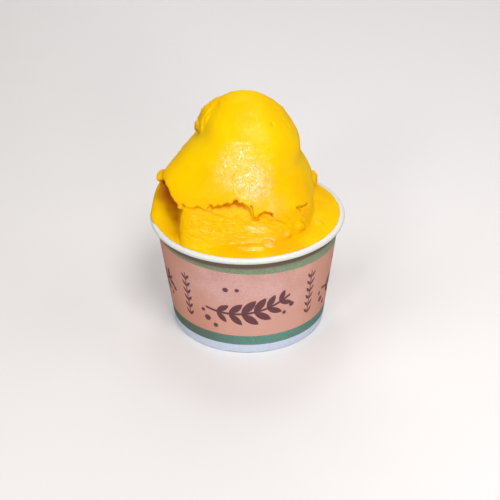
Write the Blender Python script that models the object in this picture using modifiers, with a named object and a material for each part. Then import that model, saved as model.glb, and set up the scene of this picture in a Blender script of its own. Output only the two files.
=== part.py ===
"""Paper cup heaped with mango sorbet: a rolled-rim cup, its recessed base and the sorbet.

The scene is in metres, +Z up. The origin is on the cup's axis, on the surface that it
stands on. Sizes here are in millimetres, and MM turns them to metres where a mesh is made.
Angles are in degrees, anticlockwise from above, with 0 at +X and 270 at the front (-Y).
"""
import math

import bmesh
import bpy
from mathutils import Vector, noise
from mathutils.geometry import intersect_point_line

MM = 0.001

# Cup
CUP_HEIGHT = 55.3
RIM_RADIUS = 45.0            # outside of the rolled rim
FOOT_RADIUS = 35.5           # outside of the wall on the table
PAPER = 0.45                 # coated board
ROLL_RADIUS = 1.4            # outside of the roll, seen in section
ROLL_TURN = 290.0            # how far the edge is rolled round
ROLL_STEPS = 10
FOLD_HEIGHT = 1.1            # where the wall starts to fold in at the foot
FOLD_IN = 0.35
HEM_HEIGHT = 5.6             # paper folded up inside the foot
BASE_HEIGHT = 7.0            # top of the recessed base
BASE_BEND = 1.0              # radius of the base's turned-down edge
SKIRT_DROP = 4.8             # how far that edge reaches down between wall and hem
ROUND_STEPS = 54
GAP = 0.3                    # between neighbouring pieces

WALL_TOP = CUP_HEIGHT - ROLL_RADIUS
WALL_TOP_RADIUS = RIM_RADIUS - 2 * ROLL_RADIUS + PAPER
WALL_SLOPE = (WALL_TOP_RADIUS - FOOT_RADIUS) / WALL_TOP
WALL_COS = math.cos(math.atan(WALL_SLOPE))

# The first fill, level with the rim
FILL_EDGE = 55.1             # level where it meets the rim
FILL_EDGE_RADIUS = 42.4
FILL_RADIUS = 44.7           # where it laps over the rim
FILL_TURN_DOWN = 41.5        # radius from which the lap rounds off
FILL_CROWN = 7.0             # rise to the middle
FILL_FLOOR = 3.0             # the cup's inside trims it above this
BULGE = (-41.5, 13.0, 9.9)   # place and rise of the bulge that leans on the rim at the back left
BULGE_SPREAD = (9.5, 16.0)

# The mound: its left, right, front and back at each height
MOUND_TOP = 113.2
MOUND = [(109.0, -12.0, 10.2, -8.5, 13.5), (104.0, -16.0, 16.0, -14.0, 19.0),
         (98.5, -18.2, 20.2, -18.8, 23.0), (95.0, -19.8, 22.1, -20.5, 25.0),
         (90.0, -23.8, 24.0, -22.5, 27.5), (83.0, -29.3, 24.7, -25.0, 29.5),
         (76.0, -34.6, 28.2, -27.5, 31.0), (70.0, -35.4, 30.2, -29.5, 31.0),
         (62.0, -34.0, 30.2, -33.0, 31.0), (52.0, -34.0, 30.5, -37.0, 32.0)]
MOUND_SQUARENESS = 2.5       # of its section: 2 is an ellipse, more is boxier
MOUND_MIDDLE = (-4.0, 1.0)
MOUND_FOOT = 52.0            # its lower edge where that is sunk in the fill
# Where it overhangs instead: angles where that starts and is full, full and ends, and the height
OVERHANGS = [(125.0, 170.0, 290.0, 318.0, 71.5), (40.0, 58.0, 98.0, 116.0, 65.5)]
MOUND_LIP = 1.2
RIDGE = (196.0, 22.0, 0.13)  # angle, width and swell of the blunt ridge where the front face ends
# Angle, rise and width of each bite (up) and tongue (down) of the torn lower edge
TEARS = [(188.0, 5.0, 20.0), (206.0, 3.4, 6.5), (219.0, -2.4, 6.5), (232.0, -0.6, 6.0),
         (247.0, -1.0, 4.0), (265.0, 4.0, 11.0), (286.0, -5.0, 5.0), (296.0, -2.0, 4.0),
         (70.0, -2.0, 4.0), (84.0, 2.0, 6.0)]

# The load below the mound, whose front shows as a shelf
SHELF_TOP = 77.0
SHELF_FOOT = 49.0
SHELF = [(78.0, -28.0, 20.0, -17.0, 25.0), (74.0, -30.0, 21.0, -22.5, 26.0),
         (70.0, -30.6, 21.0, -26.5, 26.0), (63.0, -30.8, 20.0, -30.5, 26.0),
         (57.0, -31.0, 19.0, -34.5, 26.0), (48.0, -31.5, 19.0, -38.0, 26.0)]
SHELF_SQUARENESS = 7.0
SHELF_TURN = (-24.0, -26.0, 0.6)  # its left side turns in behind this y, fully from this x; how much

# Centre, radii, roughness, grain and seed of each rough lump: the fold behind the top, the
# nub that hangs from it, a scrap on the rim at each side, and two smears at the back
LUMPS = [((-7.0, 6.5, 96.0), (15.0, 14.0, 13.2), 0.07, 0.35, 2.0),
         ((-21.6, 3.0, 96.8), (1.7, 2.2, 2.8), 0.25, 0.8, 5.0),
         ((30.6, 22.5, 59.2), (2.9, 4.4, 3.7), 0.25, 0.7, 7.0),
         ((26.5, 27.0, 58.5), (4.5, 3.4, 3.2), 0.25, 0.7, 8.0),
         ((-39.7, 14.5, 66.0), (2.6, 4.4, 2.1), 0.25, 0.7, 9.0),
         ((7.0, 17.5, 80.0), (16.5, 17.0, 14.0), 0.08, 0.45, 11.0),
         ((-14.0, 20.0, 70.0), (16.0, 15.0, 11.0), 0.09, 0.45, 13.0)]
# Start, end, width and depth of each crack
CRACKS = [((3.0, -28.5, 69.5), (8.5, -29.2, 68.0), 1.7, 1.9),
          ((22.7, -22.1, 68.3), (27.1, -17.1, 67.1), 1.6, 1.4)]

VOXEL = 0.9
SOFTEN_STEPS = 2
KEPT_FACES = 0.1             # share of the blended surface's faces that stays


# ---- shared helpers ------------------------------------------------------------------

def clear_scene():
    for thing in list(bpy.data.objects):
        bpy.data.objects.remove(thing, do_unlink=True)


def new_collection(name):
    group = bpy.data.collections.new(name)
    bpy.context.scene.collection.children.link(group)
    return group


def material(name, colour, roughness, subsurface=0.0):
    mat = bpy.data.materials.new(name)
    mat.use_nodes = True
    shader = mat.node_tree.nodes["Principled BSDF"]
    shader.inputs["Base Color"].default_value = (*colour, 1.0)
    shader.inputs["Roughness"].default_value = roughness
    shader.inputs["Metallic"].default_value = 0.0
    shader.inputs["Subsurface Weight"].default_value = subsurface
    mat.diffuse_color = (*colour, 1.0)
    return mat


def add_object(name, mesh, group, mat=None):
    thing = bpy.data.objects.new(name, mesh)
    group.objects.link(thing)
    if mat:
        mesh.materials.append(mat)
    return thing


def profile_mesh(name, points):
    """Edges through (radius, height) points, for a Screw modifier."""
    mesh = bpy.data.meshes.new(name)
    edges = [(i, i + 1) for i in range(len(points) - 1)]
    mesh.from_pydata([(r * MM, 0.0, z * MM) for r, z in points], edges, [])
    return mesh


def turn(thing):
    screw = thing.modifiers.new("Turn", "SCREW")
    screw.axis = "Z"
    screw.angle = math.tau
    screw.steps = ROUND_STEPS
    screw.render_steps = ROUND_STEPS
    screw.use_merge_vertices = True
    screw.merge_threshold = 0.01 * MM
    screw.use_smooth_shade = True


def thicken(thing):
    shell = thing.modifiers.new("Paper", "SOLIDIFY")
    shell.thickness = PAPER * MM
    shell.offset = 0.0
    shell.use_even_offset = True


def arc(centre, radius, start, end, steps):
    """Points on an arc in the profile plane, from start to end in degrees."""
    points = []
    for i in range(steps + 1):
        angle = math.radians(start + (end - start) * i / steps)
        points.append((centre[0] + radius * math.cos(angle), centre[1] + radius * math.sin(angle)))
    return points


def wall_radius(height, inwards=0.0):
    """Radius of the wall's outer face at a height, or a distance inside that face."""
    return FOOT_RADIUS + WALL_SLOPE * height - inwards / WALL_COS


# ---- cup -----------------------------------------------------------------------------

def make_wall(group, mat):
    """One strip of board: the edge rolled outwards, the cone, the fold and the hem."""
    half = PAPER / 2
    hem = half + 2 * (PAPER + GAP)                 # hem's centre line, in from the outer face
    roll_centre = (RIM_RADIUS - ROLL_RADIUS, WALL_TOP)
    points = arc(roll_centre, ROLL_RADIUS - half, 180 - ROLL_TURN, 180, ROLL_STEPS)
    fold_outer = wall_radius(FOLD_HEIGHT, half)
    fold_inner = wall_radius(FOLD_HEIGHT, hem)
    points += [(fold_outer, FOLD_HEIGHT), (fold_outer - FOLD_IN, half), (fold_inner + FOLD_IN, half),
               (fold_inner, FOLD_HEIGHT), (wall_radius(HEM_HEIGHT, hem), HEM_HEIGHT)]
    wall = add_object("cup_wall", profile_mesh("cup_wall", points), group, mat)
    turn(wall)
    thicken(wall)


def make_base(group, mat):
    """Flat disc with its edge turned down into the fold of the wall."""
    half = PAPER / 2
    skirt = PAPER + GAP + half                     # skirt's centre line, in from the outer face
    level = BASE_HEIGHT - half
    foot = level - SKIRT_DROP
    bend_centre = (wall_radius(level, skirt) - BASE_BEND, level - BASE_BEND)
    points = [(0.0, level)] + arc(bend_centre, BASE_BEND, 90, 8, 2) + [(wall_radius(foot, skirt), foot)]
    base = add_object("cup_base", profile_mesh("cup_base", points), group, mat)
    turn(base)
    thicken(base)


# ---- sorbet --------------------------------------------------------------------------

def ramp(value, low, high):
    """Smooth step from 0 at low to 1 at high."""
    t = min(max((value - low) / (high - low), 0.0), 1.0)
    return t * t * (3 - 2 * t)


def hump(distance, width):
    return math.exp(-((distance / width) ** 2))


def angle_between(angle, centre):
    """Signed difference of two angles, -180 to 180."""
    return (angle - centre + 180) % 360 - 180


def grain(point, size, seed=0.0):
    """Smooth noise of about -1 to 1, whose grains are size across."""
    return noise.noise(Vector(point) / size + Vector((seed, 1.7 * seed, -seed)))


def sizes_at(levels, height):
    """Left, right, front and back at a height, on a smooth curve through the levels' rows."""
    height = min(max(height, levels[-1][0]), levels[0][0])
    last = len(levels) - 1
    i = next(n for n in range(last) if height >= levels[n + 1][0])
    before, upper, lower, after = (levels[min(max(n, 0), last)] for n in (i - 1, i, i + 1, i + 2))
    span = lower[0] - upper[0]
    t = (height - upper[0]) / span
    sizes = []
    for n in range(1, 5):
        slope_in = (lower[n] - before[n]) / (lower[0] - before[0]) * span
        slope_out = (after[n] - upper[n]) / (after[0] - upper[0]) * span
        sizes.append((2 * t ** 3 - 3 * t ** 2 + 1) * upper[n] + (t ** 3 - 2 * t ** 2 + t) * slope_in
                     + (3 * t ** 2 - 2 * t ** 3) * lower[n] + (t ** 3 - t ** 2) * slope_out)
    return sizes


def section(levels, angle, height, squareness, close=1.0):
    """Point at an angle on the rounded-square section at a height; close draws it in."""
    left, right, front, back = sizes_at(levels, height)
    across, along = (right - left) / 2, (back - front) / 2
    c, s = math.cos(math.radians(angle)), math.sin(math.radians(angle))
    reach = (abs(c / across) ** squareness + abs(s / along) ** squareness) ** (-1 / squareness)
    return (left + right) / 2 + close * reach * c, (front + back) / 2 + close * reach * s


def fill_level(x, y):
    """Height of the first fill: domed, and higher where it leans on the rim at the back left."""
    reach = math.hypot(x, y) / FILL_EDGE_RADIUS
    level = FILL_EDGE + FILL_CROWN * (1 - reach ** 2.2)
    level += BULGE[2] * hump(x - BULGE[0], BULGE_SPREAD[0]) * hump(y - BULGE[1], BULGE_SPREAD[1])
    return level + 0.35 * grain((x, y, 0.0), 9.0)


def fill_shape(angle, s):
    """The first fill, from its domed top down past the room that the cup leaves."""
    top, side = 0.72, 0.9
    if s < top:
        reach = FILL_RADIUS * s / top
    elif s < side:
        reach = FILL_RADIUS
    else:
        reach = FILL_RADIUS * (1 - s) / (1 - side)
    x, y = reach * math.cos(math.radians(angle)), reach * math.sin(math.radians(angle))
    if s >= side:
        return x, y, FILL_FLOOR
    level = fill_level(x, y)
    if reach > FILL_TURN_DOWN and level > CUP_HEIGHT:
        over = (reach - FILL_TURN_DOWN) / (FILL_RADIUS - FILL_TURN_DOWN)
        level = CUP_HEIGHT + (level - CUP_HEIGHT) * math.sqrt(max(1 - over * over, 0.0))
    if s >= top:
        level += (FILL_FLOOR - level) * (s - top) / (side - top)
    return x, y, level


def mound_edge(angle):
    """Height of the mound's lower edge: torn where it overhangs, sunk in the fill elsewhere."""
    angle %= 360
    edge = MOUND_FOOT
    for start, full, fade, end, height in OVERHANGS:
        edge += (height - MOUND_FOOT) * ramp(angle, start, full) * (1 - ramp(angle, fade, end))
    for centre, rise, width in TEARS:
        edge += rise * hump(angle_between(angle, centre), width)
    return edge + 0.6 * ramp(edge, 58, 66) * grain((angle, 0.0, 0.0), 3.0, 1.3)


def mound_section(angle, height):
    """Point of the mound's side: its section, swollen towards the blunt ridge at the left."""
    dome = MOUND[0][0]
    close = math.sqrt(max(MOUND_TOP - height, 0.0) / (MOUND_TOP - dome)) if height > dome else 1.0
    x, y = section(MOUND, angle, height, MOUND_SQUARENESS, close)
    swell = 1 + RIDGE[2] * hump(angle_between(angle, RIDGE[0]), RIDGE[1]) * (1 - ramp(height, 80, 100))
    return x * swell, y * swell


def mound_shape(angle, s):
    """The big spatula load: a smooth dome, a lip at its lower edge and its underside."""
    edge_at = 0.68
    edge = mound_edge(angle)
    if s < edge_at:
        height = edge + (MOUND_TOP - edge) * (1 - (s / edge_at) ** 1.6)
        return *mound_section(angle, height), height
    t = (s - edge_at) / (1 - edge_at)
    x, y = mound_section(angle, edge)
    inwards = t ** 1.3
    drop = MOUND_LIP * math.sin(min(t / 0.12, 1.0) * math.pi / 2)
    return (x + (MOUND_MIDDLE[0] - x) * inwards, y + (MOUND_MIDDLE[1] - y) * inwards,
            edge - drop + 4 * inwards)


def shelf_shape(angle, s):
    """The load below the mound: boxy, with a steep face that runs out towards the front rim."""
    end = 0.3
    height = SHELF_TOP + (SHELF_FOOT - SHELF_TOP) * min(max((s - end) / (1 - 2 * end), 0.0), 1.0)
    close = min(s / end, (1 - s) / end, 1.0)
    x, y = section(SHELF, angle, height, SHELF_SQUARENESS)
    behind, full, turn_in = SHELF_TURN
    x += turn_in * max(y - behind, 0.0) * min(max(x / full, 0.0), 1.0)
    return x * close, y * close, height


def lump_shape(centre, radii, rough, size, seed):
    """Maker of a rough ellipsoid's shape function."""
    def shape(angle, s):
        ring = math.sin(math.pi * s)
        unit = (ring * math.cos(math.radians(angle)), ring * math.sin(math.radians(angle)),
                math.cos(math.pi * s))
        swell = 1 + rough * grain(unit, size, seed)
        return [c + r * u * swell for c, r, u in zip(centre, radii, unit)]
    return shape


def shaped_ball(shape, around, down):
    """UV sphere whose points go where shape(angle, s) says, s from 0 at the top to 1."""
    bm = bmesh.new()
    bmesh.ops.create_uvsphere(bm, u_segments=around, v_segments=down, radius=1.0)
    for vert in bm.verts:
        angle = math.degrees(math.atan2(vert.co.y, vert.co.x)) % 360
        s = math.acos(max(-1.0, min(1.0, vert.co.z))) / math.pi
        vert.co = Vector(shape(angle, s)) * MM
    mesh = bpy.data.meshes.new("load")
    bm.to_mesh(mesh)
    bm.free()
    return mesh


def crack_depth(point):
    """How far the cracks take the surface in at a point."""
    depth = 0.0
    for start, end, width, deep in CRACKS:
        nearest, share = intersect_point_line(point, Vector(start), Vector(end))
        if share < 0 or share > 1:
            nearest = Vector(start) if share < 0 else Vector(end)
        away = (point - nearest).length / width
        depth = max(depth, deep * (1 - away * away))
    return depth


def relief(point):
    """How far the surface stands out at a point: uneven, torn at the mound's edge and at the back."""
    angle = math.degrees(math.atan2(point.y - MOUND_MIDDLE[1], point.x - MOUND_MIDDLE[0]))
    edge = mound_edge(angle)
    torn = ramp(edge, 58, 66) * hump(point.z - edge, 3.0) * ramp(math.hypot(point.x, point.y), 20, 26)
    back = ramp(point.y, 4, 20) * ramp(point.z, 58, 64)
    move = 0.25 * grain(point, 8.0) + 0.7 * torn * grain(point, 2.5, 6.0)
    move += back * (1.1 * grain(point, 8.0, 3.0) + 0.6 * grain(point, 3.4, 4.0))
    return move - crack_depth(point)


def blended_loads():
    """All the loads as one surface, softened where they meet, then roughened."""
    shapes = [(fill_shape, 96, 64), (mound_shape, 128, 96), (shelf_shape, 96, 48)]
    shapes += [(lump_shape(*row), 40, 28) for row in LUMPS]
    bm = bmesh.new()
    for shape, around, down in shapes:
        load = shaped_ball(shape, around, down)
        bm.from_mesh(load)
        bpy.data.meshes.remove(load)
    joined = bpy.data.meshes.new("loads")
    bm.to_mesh(joined)
    bm.free()

    rough = add_object("loads", joined, bpy.context.scene.collection)
    merge = rough.modifiers.new("Merge", "REMESH")
    merge.mode = "VOXEL"
    merge.voxel_size = VOXEL * MM
    merge.use_smooth_shade = True
    soften = rough.modifiers.new("Soften", "SMOOTH")
    soften.factor = 0.5
    soften.iterations = SOFTEN_STEPS
    mesh = bpy.data.meshes.new_from_object(rough.evaluated_get(bpy.context.evaluated_depsgraph_get()))
    bpy.data.objects.remove(rough, do_unlink=True)
    bpy.data.meshes.remove(joined)

    normals = [vert.normal.copy() for vert in mesh.vertices]
    for vert, normal in zip(mesh.vertices, normals):
        vert.co += normal * relief(vert.co / MM) * MM
    mesh.name = "sorbet"
    return mesh


def make_room(cutters):
    """What the sorbet may fill: inside the cup, over its rim and above, a gap clear of it."""
    clear = PAPER + GAP
    floor = BASE_HEIGHT + GAP
    roll_centre = (RIM_RADIUS - ROLL_RADIUS, WALL_TOP)
    high = MOUND_TOP + 20
    over_rim = arc(roll_centre, ROLL_RADIUS + GAP, 90, 180, 4)
    points = [(0.0, high), (FILL_RADIUS + 0.2, high), (FILL_RADIUS + 0.2, over_rim[0][1])] + over_rim
    points += [(wall_radius(floor, clear), floor), (0.0, floor)]
    room = add_object("sorbet_room", profile_mesh("sorbet_room", points), cutters)
    turn(room)
    room.display_type = "WIRE"
    room.hide_render = True
    return room


def make_sorbet(group, cutters, mat):
    sorbet = add_object("sorbet", blended_loads(), group, mat)
    thin = sorbet.modifiers.new("Thin", "DECIMATE")
    thin.ratio = KEPT_FACES
    fit = sorbet.modifiers.new("Fit", "BOOLEAN")
    fit.operation = "INTERSECT"
    fit.solver = "EXACT"
    fit.object = make_room(cutters)


def main():
    clear_scene()
    group = new_collection("Sorbet cup")
    cutters = new_collection("Cutters")
    make_wall(group, material("Printed board", (0.64, 0.36, 0.29), 0.7))
    make_base(group, material("White board", (0.86, 0.86, 0.88), 0.55))
    make_sorbet(group, cutters, material("Mango sorbet", (1.0, 0.58, 0.01), 0.45, 0.3))


main()
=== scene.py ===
import math
from functools import reduce

import bmesh
import bpy
import numpy as np
from mathutils import Matrix, Vector, noise
from mathutils.bvhtree import BVHTree


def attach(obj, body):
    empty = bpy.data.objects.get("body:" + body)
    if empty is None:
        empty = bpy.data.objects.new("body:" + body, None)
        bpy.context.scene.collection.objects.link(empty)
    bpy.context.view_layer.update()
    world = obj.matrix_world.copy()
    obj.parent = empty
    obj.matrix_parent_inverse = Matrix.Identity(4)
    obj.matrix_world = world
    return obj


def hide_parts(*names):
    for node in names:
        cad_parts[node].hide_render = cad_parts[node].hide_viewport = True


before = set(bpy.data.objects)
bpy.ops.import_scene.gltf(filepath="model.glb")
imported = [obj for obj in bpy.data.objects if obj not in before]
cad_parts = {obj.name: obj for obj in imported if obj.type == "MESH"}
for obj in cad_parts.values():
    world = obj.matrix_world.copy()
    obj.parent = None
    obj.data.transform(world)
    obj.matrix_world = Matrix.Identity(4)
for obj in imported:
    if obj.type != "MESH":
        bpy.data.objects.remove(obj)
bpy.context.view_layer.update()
mm = 0.001                 # sizes below are in millimetres, angles in degrees
print("frame loaded")


# a node socket that can be added, multiplied and so on; each operator adds its Math node
class Sock:
    def __init__(self, tree, socket=None):
        self.tree = tree
        self.socket = socket

    # any node: its settings first, then the values or links of its sockets
    def node(self, kind, settings=None, values=None, output=0):
        made = self.tree.nodes.new(kind)
        for name, value in (settings or {}).items():
            setattr(made, name, value)
        for name, value in (values or {}).items():
            if isinstance(value, Sock):
                self.tree.links.new(value.socket, made.inputs[name])
            else:
                made.inputs[name].default_value = value
        return Sock(self.tree, made.outputs[output] if len(made.outputs) else None)

    def maths(self, operation, *others):
        return self.node("ShaderNodeMath", {"operation": operation}, dict(enumerate((self,) + others)))

    def __add__(self, other):
        return self.maths("ADD", other)

    __radd__ = __add__

    def __mul__(self, other):
        return self.maths("MULTIPLY", other)

    __rmul__ = __mul__

    def __sub__(self, other):
        return self.maths("SUBTRACT", other)

    def __rsub__(self, other):
        return (self * -1.0) + other

    def __abs__(self):
        return self.maths("ABSOLUTE")

    def __mod__(self, other):
        return self.maths("FLOORED_MODULO", other)

    def least(self, other):
        return self.maths("MINIMUM", other)

    def most(self, other):
        return self.maths("MAXIMUM", other)

    def step(self, low, high):          # smooth step from 0 at low to 1 at high
        return self.node("ShaderNodeMapRange", {"interpolation_type": "SMOOTHSTEP"},
                         {"Value": self, "From Min": low, "From Max": high})

    def mix(self, first, second):       # two colours by this mask
        return self.node("ShaderNodeMix", {"data_type": "RGBA"}, {0: self, 6: first, 7: second}, 2)

    def scaled(self, amount):           # a vector times a number or another vector
        amounts = amount if isinstance(amount, tuple) else (amount,) * 3
        return self.node("ShaderNodeVectorMath", {"operation": "MULTIPLY"}, {0: self, 1: amounts})

    def split(self):                    # x, y and z of a vector
        parts = self.node("ShaderNodeSeparateXYZ", None, {0: self})
        return [Sock(self.tree, socket) for socket in parts.socket.node.outputs]

    def away(self, place):              # distance of a vector from a place
        return self.node("ShaderNodeVectorMath", {"operation": "DISTANCE"}, {0: self, 1: place}, 1)

    def noise(self, scale, detail=2.0, roughness=0.5, distortion=0.0):
        return self.node("ShaderNodeTexNoise", None,
                         {"Vector": self, "Scale": scale, "Detail": detail, "Roughness": roughness,
                          "Distortion": distortion})


def rgb(red, green, blue):
    # linear colour of an 8-bit screen colour
    parts = [c / 255 for c in (red, green, blue)]
    return (*[c / 12.92 if c < 0.04045 else ((c + 0.055) / 1.055) ** 2.4 for c in parts], 1.0)


def newMaterial(name):
    mat = bpy.data.materials.new(name)
    mat.use_nodes = True
    mat.node_tree.nodes.clear()
    paint = Sock(mat.node_tree)
    place = paint.node("ShaderNodeTexCoord", output="Object").scaled(1 / mm)
    return mat, paint, place


def finishMaterial(paint, sockets):
    shader = paint.node("ShaderNodeBsdfPrincipled", None, sockets)
    paint.node("ShaderNodeOutputMaterial", None, {"Surface": shader})


def bump(paint, height, depth):
    # a normal from a height between 0 and 1 and its depth in mm
    return paint.node("ShaderNodeBump", None, {"Height": height, "Distance": depth * mm, "Strength": 1.0})


def addPiece(name, mesh, mat, node):
    piece = bpy.data.objects.new(name, mesh)
    bpy.context.scene.collection.objects.link(piece)
    mesh.materials.clear()
    mesh.materials.append(mat)
    mesh.shade_smooth()
    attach(piece, "root")
    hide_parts(node)


# the photograph's camera, fitted to the rim, the printed lines and the foot
camera = {"aim": (0.93, 0.0, 34.08), "distance": 620.0, "down": 30.5, "roll": -0.8,
          "focal": 1318.3, "pixels": 500, "sensor": 36.0}


def addCamera(c):
    down, roll = math.radians(c["down"]), math.radians(c["roll"])
    forward = Vector((0, math.cos(down), -math.sin(down)))
    right = Vector((1, 0, 0))
    up = right.cross(forward)
    rolledRight = math.cos(roll) * right + math.sin(roll) * up
    rolledUp = math.cos(roll) * up - math.sin(roll) * right
    data = bpy.data.cameras.new("camera")
    data.sensor_width = c["sensor"]
    data.lens = c["focal"] * c["sensor"] / c["pixels"]
    data.clip_start = 0.01
    eye = bpy.data.objects.new("camera", data)
    bpy.context.scene.collection.objects.link(eye)
    place = (Vector(c["aim"]) - c["distance"] * forward) * mm
    axes = Matrix((rolledRight, rolledUp, -forward)).transposed()
    eye.matrix_world = Matrix.Translation(place) @ axes.to_4x4()
    bpy.context.scene.camera = eye


addCamera(camera)
print("camera placed")


# the cup: board rolled at the rim, folded in at the foot, lapped at one seam
cup = {"height": 55.3, "rim": 44.9, "foot": 35.5, "paper": 0.45, "gap": 0.3,
       "roll": 1.4, "rollTurn": 290, "rollSteps": 22, "wallSteps": 12, "columns": 168,
       "fold": 1.1, "foldIn": 0.35, "foldRise": 0.3, "hem": 5.6,
       "base": 7.0, "bend": 1.0, "bendEnd": 8, "bendSteps": 6, "skirt": 4.8,
       "baseRings": 9, "baseHole": 0.05, "baseColumns": 120,
       # the lap of the side seam: where it is, how far it runs, its rise and the columns beside its edge
       "seam": 128.0, "seamLap": 26.0, "seamRise": 0.32, "seamColumns": (-0.12, 0.0, 0.5)}
cup["wallTop"] = cup["height"] - cup["roll"]
cup["rollMiddle"] = cup["rim"] - cup["roll"]
cup["slope"] = (cup["rim"] - 2 * cup["roll"] + cup["paper"] - cup["foot"]) / cup["wallTop"]
cup["tilt"] = math.cos(math.atan(cup["slope"]))


def wallRadius(height, inwards=0.0):
    return cup["foot"] + cup["slope"] * height - inwards / cup["tilt"]


def arc(centre, radius, start, end, steps):
    angles = [math.radians(start + (end - start) * i / steps) for i in range(steps + 1)]
    return [(centre[0] + radius * math.cos(a), centre[1] + radius * math.sin(a)) for a in angles]


def boardOutline(line, paper):
    # both sides of a board whose middle runs along a line of (radius, height) points
    sides = ([], [])
    for i, (r, z) in enumerate(line):
        before, after = line[max(i - 1, 0)], line[min(i + 1, len(line) - 1)]
        legs = [Vector((r - before[0], z - before[1])), Vector((after[0] - r, after[1] - z))]
        legs = [leg.normalized() for leg in legs if leg.length > 0]
        run = sum(legs, Vector((0, 0))).normalized()
        reach = paper / 2 / max(run.dot(legs[0]), 0.5)
        for side, way in zip(sides, (1, -1)):
            side.append((r - way * run.y * reach, z + way * run.x * reach))
    return sides[0] + sides[1][::-1]


def turned(name, outline, columns, rise=None):
    # a closed outline turned about the cup's axis, one column of points at each angle
    mesh = bpy.data.meshes.new(name)
    points, faces = [], []
    for angle in columns:
        c, s = math.cos(math.radians(angle)), math.sin(math.radians(angle))
        for r, z in outline:
            out = r + (rise(angle, r, z) if rise else 0.0)
            points.append((out * c * mm, out * s * mm, z * mm))
    high = len(outline)
    for i in range(len(columns)):
        for j in range(high):
            a, b = i * high + j, i * high + (j + 1) % high
            shift = ((i + 1) % len(columns) - i) * high
            faces.append((a, a + shift, b + shift, b))
    mesh.from_pydata(points, [], faces)
    mesh.validate()
    bm = bmesh.new()
    bm.from_mesh(mesh)
    bmesh.ops.recalc_face_normals(bm, faces=bm.faces)
    bm.to_mesh(mesh)
    bm.free()
    return mesh


def wallMiddle():
    # the board's middle line: from the roll's tucked end over the rim, down the wall and up as the hem
    half = cup["paper"] / 2
    hem = half + 2 * (cup["paper"] + cup["gap"])
    line = arc((cup["rollMiddle"], cup["wallTop"]), cup["roll"] - half, 180 - cup["rollTurn"], 180,
               cup["rollSteps"])
    steps = cup["wallSteps"]
    outer = wallRadius(cup["fold"], half)
    inner = wallRadius(cup["fold"], hem)
    line += [(wallRadius(z, half), z) for z in
             (cup["wallTop"] + (cup["fold"] - cup["wallTop"]) * (i + 1) / steps for i in range(steps))]
    line += [(outer - cup["foldIn"] / 3, half + cup["foldRise"]), (outer - cup["foldIn"], half),
             (inner + cup["foldIn"], half), (inner, cup["fold"]), (wallRadius(cup["hem"], hem), cup["hem"])]
    return line


def seamRise(angle, r, z):
    # the outer end of the board lies on the inner one, and the lap dies out round the cup
    lap = (angle - cup["seam"]) % 360
    outside = r > wallRadius(z) - cup["paper"] / 2
    if not outside or lap > cup["seamLap"]:
        return 0.0
    return cup["seamRise"] * (1 - lap / cup["seamLap"])


# the print: a kraft field between two green lines over a white foot, with sprigs and ears in one ink;
# heights are in mm up the wall. Painted shade is kept here too: a dark band under the roll and browner
# sides
printed = {"foot": 4.9, "lowLine": 10.2, "highLine": 46.0, "field": 49.0, "rollFrom": 52.0,
           "lean": 0.001, "soft": 0.2, "wander": 0.25,
           "kraft": rgb(221, 175, 171), "kraftDark": rgb(199, 147, 134), "fleck": rgb(162, 109, 91),
           "kraftLow": rgb(218, 160, 140), "kraftShade": rgb(206, 143, 118),
           "highGreen": rgb(146, 164, 133), "highGreenDark": rgb(116, 132, 101),
           "lowGreen": rgb(106, 159, 146), "lowGreenDark": rgb(84, 129, 114),
           "lowGreenShade": rgb(91, 105, 93),
           "footTone": rgb(207, 218, 238), "footDark": rgb(197, 207, 224), "rollShadow": rgb(112, 96, 78),
           "board": rgb(224, 226, 221), "boardDark": rgb(216, 217, 210),
           "ink": rgb(104, 60, 66), "inkWorn": rgb(134, 84, 84),
           "inkWobble": 0.35, "inkEdge": (-0.1, 0.12),
           # where the colours turn: the warm low half, the sides and the low left browned by painted shade,
           # the green darkened by painted shade at left and right
           "warm": (6.0, 44.0), "sides": (15.0, 38.0), "lowLeftShade": (-24.0, -8.0),
           "greenShadeLeft": (-26.0, 2.0), "greenShadeRight": (14.0, 30.0),
           "repeats": 4, "front": 270.0, "middle": 28.0, "meanRadius": 40.0}
# a bent stem with pairs of leaves that get smaller from its widest place, and loose berries
sprig = {"centre": (-8.0, 44.0), "radius": 49.0, "stem": 0.6, "reach": 21.0, "lift": 1.0,
         "leaf": 10.6, "leafWidth": 4.2, "spread": 43.0, "pairs": (-15.5, -9.5, -3.5, 2.5, 8.5, 14.5),
         "widest": -2.0, "taper": 0.022,
         "berries": ((-20.6, -9.6, 1.6), (-16.6, -13.0, 1.2), (-22.6, -5.4, 1.0), (20.8, -2.4, 1.3),
                     (17.2, -6.2, 1.0), (-5.2, 8.8, 1.0), (-10.4, 8.6, 1.3))}
ear = {"height": 24.0, "pitch": 4.0, "leaf": 4.0, "leafWidth": 1.3, "spread": 38.0, "stem": 0.28}


def leafField(flat, middle, angle, length, width):
    # below 0 inside a leaf, which is where two discs overlap
    across, half = width / 2, length / 2
    radius = (half * half + across * across) / (2 * across)
    normal = (-math.sin(math.radians(angle)), math.cos(math.radians(angle)))
    discs = [flat.away((middle[0] + side * (radius - across) * normal[0],
                        middle[1] + side * (radius - across) * normal[1], 0.0)) for side in (1, -1)]
    return discs[0].most(discs[1]) - radius


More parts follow.
